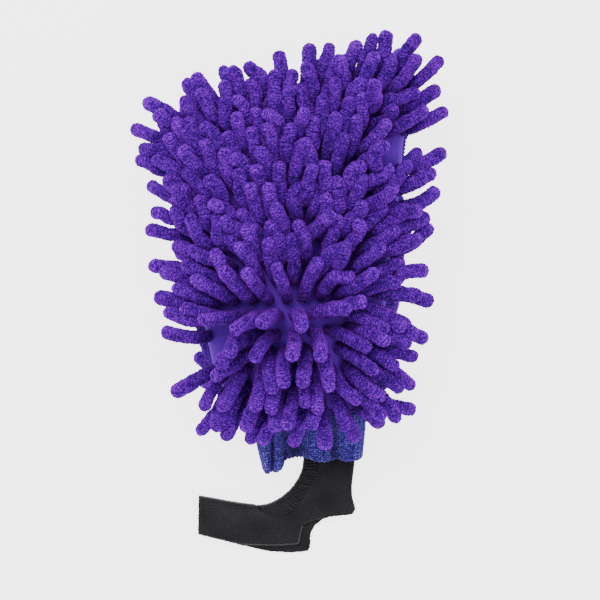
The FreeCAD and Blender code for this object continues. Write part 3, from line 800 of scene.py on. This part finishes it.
def ribbon(name, path, level_way, width_way, width, thickness, scallop, pitch):
    """A stitched edge along a path: a flat strip whose edge is scalloped by the overlock loops."""
    path = np.asarray(path)
    run = run_along(path)
    count = int(run[-1] / (0.5))
    at = np.linspace(0, run[-1], count)
    line = spaced(path, run, at)
    out = unit(spaced(width_way, run, at))
    phase = at * 2 * math.pi / pitch
    profile = []
    angles = np.linspace(0, 2 * math.pi, RIBBON_AROUND + 1)[:-1]
    for angle in angles:
        outward = 0.5 + 0.5 * math.cos(angle)
        reach = width * outward + scallop * np.cos(phase) * outward
        lift = math.sin(angle) * thickness * (0.75 + 0.35 * np.cos(phase + angle))
        profile.append(line + out * reach[:, None] + np.asarray(level_way)[None] * lift[:, None])
    grid = np.stack(profile, 1)
    ends = [tube_ends(count, RIBBON_AROUND)]
    tint = smooth_step(grid[..., 0], 50, 58) * smooth_step(grid[..., 1], 138, 144)
    return build_mesh(name, grid.reshape(-1, 3), grid_quads(count, RIBBON_AROUND, True), ends,
                      {"tint": tint})


def bag_outline():
    """The seam's path round the bag: up one side, across the finger end and down the other."""
    rows = station(BAG, np.linspace(0.02, 0.985, 80))
    right, left = [], []
    for x, y, z, turn, half_width, _ in rows:
        turn = math.radians(turn)
        way = np.array([math.cos(turn), math.sin(turn), 0])
        right.append((np.array([x, y, z]) + way * (half_width - 0.6), way))
        left.append((np.array([x, y, z]) - way * (half_width - 0.6), -way))
    a, b = right[-1][0], left[-1][0]
    shares = np.linspace(0.02, 0.98, 40)
    across = [(a * (1 - s) + b * s + FINGER_WAY * 1.5, FINGER_WAY) for s in shares]
    stops = right + across + left[::-1]
    return np.array([p for p, _ in stops]), np.array([w for _, w in stops])


outline, outline_way = bag_outline()
side_seam = ribbon("side_overlock_seam", outline, (0, 0, 1), outline_way, 1.9, 0.55, 0.45, 2.4)
dress(side_seam, SEAM, "mitt", ["side_seam"])

turns = np.linspace(0, 2 * math.pi, WRIST_POINTS)
ring_y = np.full(WRIST_POINTS, -75.0)
ring = np.stack([WRIST_SEAM_X + 39.4 * np.cos(turns), ring_y, 26.0 + 10.4 * np.sin(turns)], 1)
ring_way = np.stack([np.cos(turns) / 41.0, np.zeros(WRIST_POINTS), np.sin(turns) / 12.0], 1)
wrist = ribbon("wrist_overlock_seam", ring, (0, 1, 0), ring_way, 1.7, 0.8, 0.3, 2.4)
dress(wrist, SEAM, "mitt", ["wrist_seam"])


# ------------------------------------------------------------------ knit cuff
# Folds of the cuff's palm side: middle x, half width and height, at the hem.
CUFF_FOLDS = ((-22.8, 3.0, 2.6), (-19.0, 1.3, -3.4), (-15.2, 2.8, 2.8), (-10.8, 1.6, -2.6),
              (-3.5, 5.0, -5.6), (10.0, 9.0, 1.8), (22.8, 2.6, -3.2), (30.0, 4.0, 1.2), (38.0, 3.4, 1.6))
# How far the hem lies below or above the straight hem of the section: x and distance.
HEM_LINE = ((-27.0, 1.0), (-25.0, 2.8), (-22.0, 3.3), (-19.3, 2.2), (-16.0, 2.9), (-13.0, 1.7),
            (-11.3, 0.5), (-10.8, -3.4), (-9.2, -4.8), (0.0, -5.6), (3.0, -5.0), (9.0, -2.4),
            (13.0, -1.0), (18.6, -0.4), (25.5, -1.8), (31.0, 0.9), (39.0, 1.5), (43.0, 0.7))
# Width of a stitch and height of a course of the cuff's knit, and the cuff's length along the arm.
CUFF_STITCH, CUFF_COURSE, CUFF_LENGTH = 1.7, 1.45, 37.5


def cuff_grid(depth, along_count, around_count):
    """Points of the cuff's wall a given depth below its outside, and the height of its palm folds."""
    share = np.linspace(0, 1, along_count)
    rows = station(CUFF, share)
    angle = np.arange(around_count) / around_count * 2 * math.pi
    x = np.cos(angle)[None, :] * (rows[:, 4:5] - depth)
    sine = np.sin(angle)[None, :]
    z = np.sign(sine) * np.abs(sine) ** 0.85 * (rows[:, 5:6] - depth)
    turn = np.radians(rows[:, 3:4])
    gx = rows[:, 0:1] + x * np.cos(turn)
    gy = rows[:, 1:2] + x * np.sin(turn)
    gz = rows[:, 2:3] + z
    # The hem is drawn in a little at both sides.
    gx = gx + share[:, None] ** 1.5 * (6.0 * smooth_step(gx, -8, -32) - 2.5 * smooth_step(gx, 30, 45))
    palm = smooth_step(sine, -0.15, 0.35)
    grow = 0.45 + 0.55 * share[:, None]
    folds = np.zeros_like(gz)
    for middle, half, height in CUFF_FOLDS:
        folds = folds + np.exp(-((gx - middle) / half) ** 2) * height
    gz = gz + folds * grow * (palm - 0.35 * (1 - palm))
    hem_x, hem_drop = np.array(HEM_LINE).T
    # The hem of the wall beneath is drawn up out of sight behind the deepest fold.
    behind = 0.8 * np.sin(gx * 0.35) - 5.5 * smooth_step(np.abs(gx + 5.0), 17, 9)
    drop = np.interp(gx, hem_x, hem_drop) * palm + behind * (1 - palm)
    gy = gy - drop * share[:, None] ** 2.5
    # The cuff's upper end is tucked into the bag's mouth.
    gy = gy + 3.4 * smooth_step(share[:, None], 0.09, 0.0)
    return np.stack([gx, gy, gz], -1), folds * palm


CUFF_ALONG, CUFF_AROUND = ((92, 520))
outer, cuff_folds = cuff_grid(0.0, CUFF_ALONG, CUFF_AROUND)
inner, _ = cuff_grid(2.1, CUFF_ALONG, CUFF_AROUND)
around_run = np.cumsum(np.linalg.norm(np.diff(outer[-1], axis=0, append=outer[-1][:1]), axis=1))
columns = np.broadcast_to(around_run / CUFF_STITCH, outer.shape[:2])
courses = np.arange(CUFF_ALONG) / (CUFF_ALONG - 1) * CUFF_LENGTH / CUFF_COURSE
courses = np.broadcast_to(courses[:, None], outer.shape[:2])
courses = courses + soft_noise(outer.shape[:2], 30, 91) * 0.4
normal = grid_normals(outer, True)
if (normal[:, : CUFF_AROUND // 2, 2]).mean() < 0:
    normal = -normal
# Ribs of the elastic knit, strongest near the right edge.
rib_share = 0.25 + 0.75 * smooth_step(np.abs(outer[..., 0] - 39.0), 8.0, 3.0)
ribbing = np.cos(around_run * 2 * math.pi / 3.4)[None, :] * rib_share
knots = soft_noise(outer.shape[:2], 4, 92)
outer = outer + normal * (ribbing * 0.28 + knots * 0.22)[..., None]
# Painted fold light: painted shade in the folds' valleys and between the ribs, painted highlight on their
# crests.
painted_fold_light = np.clip(0.55 + cuff_folds / 9.0 + ribbing * 0.12 + knots * 0.15, 0, 1)
edge = np.arange(CUFF_ALONG)[:, None] / (CUFF_ALONG - 1)
close = smooth_step(edge, 0.955, 1.0)[..., None]
middle_layer = (outer + inner) / 2
outer, inner = (layer * (1 - 0.75 * close ** 2) + middle_layer * 0.75 * close ** 2
                for layer in (outer, inner))
scallop = np.sin(around_run * 2 * math.pi / 3.1)[None, :] * 0.35 * smooth_step(edge, 0.93, 1.0)
outer[..., 1] -= scallop
inner[..., 1] -= scallop
cuff = shell("knit_wrist_cuff", outer, inner, True,
             {"relief": painted_fold_light, "column": columns, "course": courses})
dress(cuff, CUFF_KNIT, None, ["knit_cuff"])
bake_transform(cuff)

# ------------------------------------------------------------------ inner wrist sleeve
# Edges of the flat sleeve, seen from above.
LEG_RIGHT = ((37.5, -110.0), (37.3, -114.0), (35.6, -129.0), (35.8, -136.0), (38.2, -145.0), (36.6, -148.2))
THUMB_SIDE = ((25.0, -149.9), (10.4, -152.7), (2.8, -155.5))
FRONT_HEM = ((1.0, -161.0), (-0.7, -169.6), (-17.4, -170.7), (-41.0, -170.0), (-71.0, -162.7))
BACK_HEM = ((25.0, -150.3), (16.7, -152.0), (10.4, -156.8), (7.6, -161.7), (6.9, -172.8), (4.9, -174.9),
            (-6.2, -176.0), (-22.2, -174.9), (-41.0, -170.7), (-71.0, -162.9))
ARM_UP = ((-70.2, -136.0), (-59.0, -137.8), (-50.7, -139.5), (-41.6, -140.9))
BEND = ((-31.0, -142.2), (-27.0, -142.1), (-22.6, -141.3), (-18.7, -139.9), (-13.2, -136.7), (-8.8, -133.2),
        (-4.9, -129.0), (-1.2, -123.4), (1.2, -118.0), (2.0, -113.8), (2.6, -103.5))
# The seam of the gathered band, from inside the cuff down to where the band runs out along the arm.
BAND_SEAM = ((13.1, -103.5), (12.7, -112.7), (11.8, -118.7), (9.0, -125.6), (4.2, -133.2), (0.7, -139.5),
             (-4.2, -145.7), (-10.5, -149.8), (-17.5, -149.6), (-24.5, -146.6))
# Where the sleeve leaves the cuff, and its slope in degrees.
SLEEVE_TOP = (6.8, -112.0, 1.6)
SLEEVE_SLOPE = 1.3
# Middle and radius of the quarter turn that the sleeve's knit makes.
KNIT_TURN, KNIT_TURN_RADIUS = (-33.0, -110.0), 50
# Thickness of one sleeve layer, room between the two, and width of a stitch and height of a course.
CLOTH, AIR = 1.2, 5.6
SLEEVE_STITCH, SLEEVE_COURSE = 1.1, 0.95
GRAIN = 0.55


def rounded(path, spacing, closed):
    """A path's points evenly spaced on a slightly rounded line."""
    path = np.array(path, float)
    if closed:
        path = np.concatenate([path, path[:1]])
    run = run_along(path)
    count = max(int(run[-1] / spacing), 3)
    line = spaced(path, run, np.linspace(0, run[-1], count + 1))
    if closed:
        line = line[:-1]
        for _ in range(3):
            line = (np.roll(line, 1, 0) + 2 * line + np.roll(line, -1, 0)) / 4
    else:
        for _ in range(3):
            line[1:-1] = (line[:-2] + 2 * line[1:-1] + line[2:]) / 4
    return line


def inside_outline(points, outline):
    """Which points lie inside a closed outline."""
    x, y = points[:, 0:1], points[:, 1:2]
    x0, y0 = outline[:, 0], outline[:, 1]
    x1, y1 = np.roll(x0, -1), np.roll(y0, -1)
    crosses = ((y0 > y) != (y1 > y)) & (x < (x1 - x0) * (y - y0) / np.where(y1 == y0, 1e-9, y1 - y0) + x0)
    return crosses.sum(1) % 2 == 1


def line_distance(points, path, closed=False):
    """Distance of points from a path."""
    path = np.asarray(path, float)
    ends = np.roll(path, -1, 0) if closed else path[1:]
    best = np.full(len(points), 1e9)
    for start, stop in zip(path, ends):
        way = stop - start
        t = np.clip(((points - start) @ way) / max(way @ way, 1e-9), 0, 1)
        best = np.minimum(best, np.linalg.norm(points - start - t[:, None] * way, axis=1))
    return best


def knit_run(points):
    """How far along and across the sleeve's tube a point lies, following its quarter turn."""
    rel = points - np.array(KNIT_TURN)
    radius = np.hypot(rel[:, 0], rel[:, 1])
    angle = np.arctan2(-rel[:, 1], rel[:, 0])
    angle = np.clip(angle, 0, math.pi / 2)
    along = KNIT_TURN_RADIUS * angle + np.maximum(rel[:, 1], 0) * -1 + np.maximum(-rel[:, 0], 0)
    across = np.where(rel[:, 1] > 0, rel[:, 0], np.where(rel[:, 0] < 0, -rel[:, 1], radius))
    return along, across


def fold_distance(points):
    """Distance from the folded edges that join the sleeve's two layers."""
    folds = [line_distance(points, path) for path in (LEG_RIGHT, ARM_UP, BEND)]
    return np.minimum.reduce(folds)


def place_sleeve(points):
    """Lays sleeve points on the floor: the upper layer sags between the folds, and the top end
    tucks into the cuff."""
    slope = math.radians(SLEEVE_SLOPE)
    sag = 4.3 * (1 - np.exp(-(fold_distance(points[:, :2]) / 10.0) ** 2))
    level = points[:, 2] - sag * smooth_step(points[:, 2], CLOTH, CLOTH + AIR)
    y = points[:, 1] - SLEEVE_TOP[1]
    moved = points.copy()
    moved[:, 1] = SLEEVE_TOP[1] + y * math.cos(slope) - level * math.sin(slope)
    moved[:, 2] = SLEEVE_TOP[2] + y * math.sin(slope) + level * math.cos(slope)
    # Inside the cuff the sleeve rests on the cuff's lower wall.
    section_y = np.minimum(moved[:, 1], -104.0)
    spots = np.column_stack([points[:, 0], section_y])
    middle_x, middle_z, _, half_width, half_height, _ = bag_section(spots, CUFF)
    across = np.clip((points[:, 0] - middle_x) / (half_width - 2.0), -0.97, 0.97)
    wall = middle_z - (half_height - 2.6) * np.sqrt(1 - across ** 2)
    raised = np.maximum(moved[:, 2], wall + 0.35 * level)
    moved[:, 2] += (raised - moved[:, 2]) * smooth_step(moved[:, 1], -122, -112)
    return moved


def knit_panel(name, outline, base, thickness, rounding, relief_of, jag, joined=()):
    """A knitted panel of any outline, soft-edged but for where it is joined, with relief on top."""
    border = rounded(outline, GRAIN * 1.1, True)
    local = np.random.default_rng(len(outline))
    way = unit(np.roll(border, -1, 0) - np.roll(border, 1, 0))
    way = np.stack([way[:, 1], -way[:, 0]], 1)
    border = border + way * (local.uniform(-1, 1, (len(border), 1)) * jag)
    low, high = border.min(0), border.max(0)
    gx, gy = np.meshgrid(np.arange(low[0], high[0], GRAIN), np.arange(low[1], high[1], GRAIN))
    spots = np.stack([gx.ravel(), gy.ravel()], 1)
    spots[:, 0] += (np.round((spots[:, 1] - low[1]) / GRAIN) % 2) * GRAIN / 2
    spots = spots[inside_outline(spots, border)]
    spots = spots[line_distance(spots, border, True) > GRAIN * 0.6]
    count = len(border)
    edges = [(k, (k + 1) % count) for k in range(count)]
    made = delaunay_2d_cdt([Vector(p) for p in np.concatenate([border, spots])], edges, [], 1, 1e-4)
    flat = np.array([tuple(p) for p in made[0]])
    faces = np.array([f for f in made[2] if len(f) == 3])
    relief = relief_of(flat)
    rim = np.clip(line_distance(flat, border, True) / rounding, 0, 1)
    if joined:
        rim = rim + (0.85 - np.minimum(rim, 0.85)) * smooth_step(line_distance(flat, joined), 3.0, 0.8)
    round_edge = np.sqrt(1 - (1 - rim) ** 2)
    middle = base + thickness / 2
    fullness = thickness / 2 * (0.3 + 0.7 * round_edge)
    upper = np.column_stack([flat, middle + fullness + relief * round_edge])
    lower = np.column_stack([flat, middle - fullness])
    n = len(flat)
    uses = set()
    for a, b, c in faces.tolist():
        uses.update(((a, b), (b, c), (c, a)))
    walls = [(b, a, a + n, b + n) for (a, b) in sorted(uses) if (b, a) not in uses]
    along, across = knit_run(flat)
    shade = np.clip(0.5 + relief * 0.5, 0, 1)
    one = {"relief": shade, "column": across / SLEEVE_STITCH, "course": along / SLEEVE_COURSE}
    both = {k: np.concatenate([v, v]) for k, v in one.items()}
    points = place_sleeve(np.concatenate([upper, lower]))
    return build_mesh(name, points, np.array(walls), [faces, faces[:, ::-1] + n], both)


def cloth_waves(points):
    """Gentle unevenness of the sleeve's knit."""
    x, y = points[:, 0], points[:, 1]
    slow = np.sin(x * 0.21 + y * 0.13) + np.sin(x * 0.09 - y * 0.24 + 1.0)
    return slow * 0.16 + np.sin(x * 1.9 + np.sin(y * 1.3) * 1.2) * np.sin(y * 2.1 + np.sin(x * 0.9)) * 0.10


def band_gathers(points):
    """Crosswise creases of the gathered band, every one a little different."""
    along, across = knit_run(points)
    wander = 1.3 * np.sin(along * 0.37) + 0.5 * np.sin(along * 1.1 + across * 0.5)
    crease = np.sin((along + 0.25 * wander + 0.10 * across) * 2 * math.pi / 2.7)
    depth = 0.95 * smooth_step(points[:, 0], -22.0, -4.0)
    return depth * crease * (0.65 + 0.35 * np.sin(along * 0.9 + 0.5)) + 0.15 * np.sin(across * 1.9 + along)


FULL = 2 * CLOTH + AIR
seam_up = BAND_SEAM[::-1]
leg_side = ((37.0, -103.5),) + LEG_RIGHT
front_outline = leg_side + THUMB_SIDE + FRONT_HEM + ARM_UP + BEND[:1] + seam_up
# The under layer reaches a little way beneath the band.
under_band = tuple((x - 1.6, y + 1.0) for x, y in seam_up)
back_outline = leg_side + BACK_HEM + ARM_UP + BEND[:1] + under_band


def blend_sleeve(piece, stuff, nodes):
    dress(piece, stuff, None, nodes)
    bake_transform(piece)


for name, outline, base, flat, node in (
        ("sleeve_palm_layer", front_outline, CLOTH + AIR, (0.109, 0.068), "sleeve_front_layer"),
        ("sleeve_under_layer", back_outline, 0.0, (0.109, 0.073), "sleeve_back_layer")):
    layer = knit_panel(name, outline, base, CLOTH, 0.9, cloth_waves, 0.28)
    blend_sleeve(layer, SLEEVE_KNIT, [node])
rib_edge = knit_panel("sleeve_rib_edge", BEND + BAND_SEAM, 0.0, FULL, 2.0, band_gathers, 0.18, BAND_SEAM)
blend_sleeve(rib_edge, SLEEVE_RIB, ["sleeve_rib_band"])


def fold_wall(name, path):
    """The folded edge of the tube between its two layers, a strip that bulges a little outwards."""
    line = rounded(path, GRAIN, False)
    way = unit(np.gradient(line, axis=0))
    out = np.stack([-way[:, 1], way[:, 0]], 1)
    turn = np.linspace(-math.pi / 2, math.pi / 2, 12)
    levels = CLOTH / 2 + (np.sin(turn) * 0.5 + 0.5) * (AIR + CLOTH)
    reach = 0.4 * np.cos(turn)
    grids = []
    for depth in (0.0, 1.0):
        grid = np.stack([np.column_stack([line + out * (r - depth), np.full(len(line), z)])
                         for r, z in zip(reach, levels)])
        grids.append(place_sleeve(grid.reshape(-1, 3)).reshape(grid.shape))
    along, _ = knit_run(line)
    run = np.broadcast_to(along[None, :], (len(turn), len(line)))
    attributes = {"relief": np.full(run.shape, 0.6), "course": run / SLEEVE_COURSE,
                  "column": np.broadcast_to(levels[:, None] / SLEEVE_STITCH, run.shape)}
    grids = [g[:, ::-1] for g in grids]
    attributes = {k: v[:, ::-1] for k, v in attributes.items()}
    wall = shell(name, *grids, False, attributes)
    blend_sleeve(wall, SLEEVE_KNIT, ["sleeve_back_layer"])


fold_wall("sleeve_leg_fold", ((37.0, -104.0),) + LEG_RIGHT[:5])
fold_wall("sleeve_arm_fold", ARM_UP + BEND[:1])


def stitch_line(name, path, node, pitch, height, stuff):
    """A line of thread: a chain of small raised loops on top of the sleeve."""
    line = rounded(path, 0.25, False)
    run = run_along(line)
    way = unit(np.gradient(line, axis=0))
    out = np.stack([-way[:, 1], way[:, 0]], 1)
    phase = run * 2 * math.pi / pitch
    centre = line + out * (np.sin(phase) * 0.32)[:, None]
    angles = np.arange(THREAD_AROUND) / THREAD_AROUND * 2 * math.pi
    grid = []
    for angle in angles:
        flat = centre + out * (math.cos(angle) * 0.30)
        level = height + 0.18 + math.sin(angle) * 0.24 + 0.10 * np.cos(phase * 2)
        grid.append(np.column_stack([flat, level]))
    grid = np.stack(grid, 1)
    quads = grid_quads(len(line), THREAD_AROUND, True)
    ends = [tube_ends(len(line), THREAD_AROUND)]
    piece = build_mesh(name, place_sleeve(grid.reshape(-1, 3)), quads, ends)
    blend_sleeve(piece, stuff, [node])


stitch_line("thumb_opening_overlock_thread",
            [(1.6, -157.2), (0.3, -161.0), (-1.3, -169.0), (-17.4, -170.1), (-41.0, -169.4),
             (-64.0, -164.0)], "thumb_opening_overlock", 1.5, FULL, THREAD)
stitch_line("rib_edge_seam_thread", [(x + 0.6, y - 0.2) for x, y in BAND_SEAM[1:6]],
            "rib_band_seam_thread", 1.3, FULL, DARK_THREAD)
stitch_line("sleeve_end_hem_thread", [(-68.9, -162.4), (-68.3, -137.0)],
            "sleeve_end_stitching", 1.6, FULL, DARK_THREAD)

# ------------------------------------------------------------------ floor, light and camera
# Half width and height of the floor and height of the camera, in metres.
FLOOR_REACH, FLOOR_LEVEL, CAMERA_HEIGHT = 3.0, -0.0008, 1.15
floor_mesh = bpy.data.meshes.new("floor")
floor_corners = [(x * FLOOR_REACH, y * FLOOR_REACH, 0) for x, y in ((-1, -1), (1, -1), (1, 1), (-1, 1))]
floor_mesh.from_pydata(floor_corners, [], [(0, 1, 2, 3)])
floor = put_in_scene("floor", floor_mesh)
floor.location.z = FLOOR_LEVEL
pale, _, pale_shader = material("pale_floor")
pale_shader.inputs["Base Color"].default_value = (0.93, 0.93, 0.93, 1)
pale_shader.inputs["Roughness"].default_value = 0.8
pale_shader.inputs["Emission Color"].default_value = (1, 1, 1, 1)
pale_shader.inputs["Emission Strength"].default_value = 3.2
floor_mesh.materials.append(pale)

world = bpy.data.worlds.new("studio")
bpy.context.scene.world = world
world.use_nodes = True
world.node_tree.nodes["Background"].inputs["Color"].default_value = (1, 1, 1, 1)
world.node_tree.nodes["Background"].inputs["Strength"].default_value = 0.75


def soft_box(name, place, target, width, power):
    light = bpy.data.lights.new(name, "AREA")
    light.shape, light.size, light.energy = "SQUARE", width, power
    thing = put_in_scene(name, light)
    thing.location = place
    thing.rotation_euler = (Vector(target) - Vector(place)).to_track_quat("-Z", "Y").to_euler()


soft_box("key_light", (-0.35, 0.75, 1.15), (0, 0, 0.03), 0.55, 11.0)
soft_box("fill_light", (0.7, -0.6, 1.2), (0, 0, 0.03), 0.9, 5.0)

camera_data = bpy.data.cameras.new("camera")
camera_data.lens = 99.0
camera_data.sensor_width = 36.0
camera_data.clip_start = 0.05
camera = put_in_scene("camera", camera_data)
camera.location = (float(SHIFT[0]) * MM, float(SHIFT[1]) * MM, CAMERA_HEIGHT)
camera.rotation_euler = (0, 0, 0)
bpy.context.scene.camera = camera
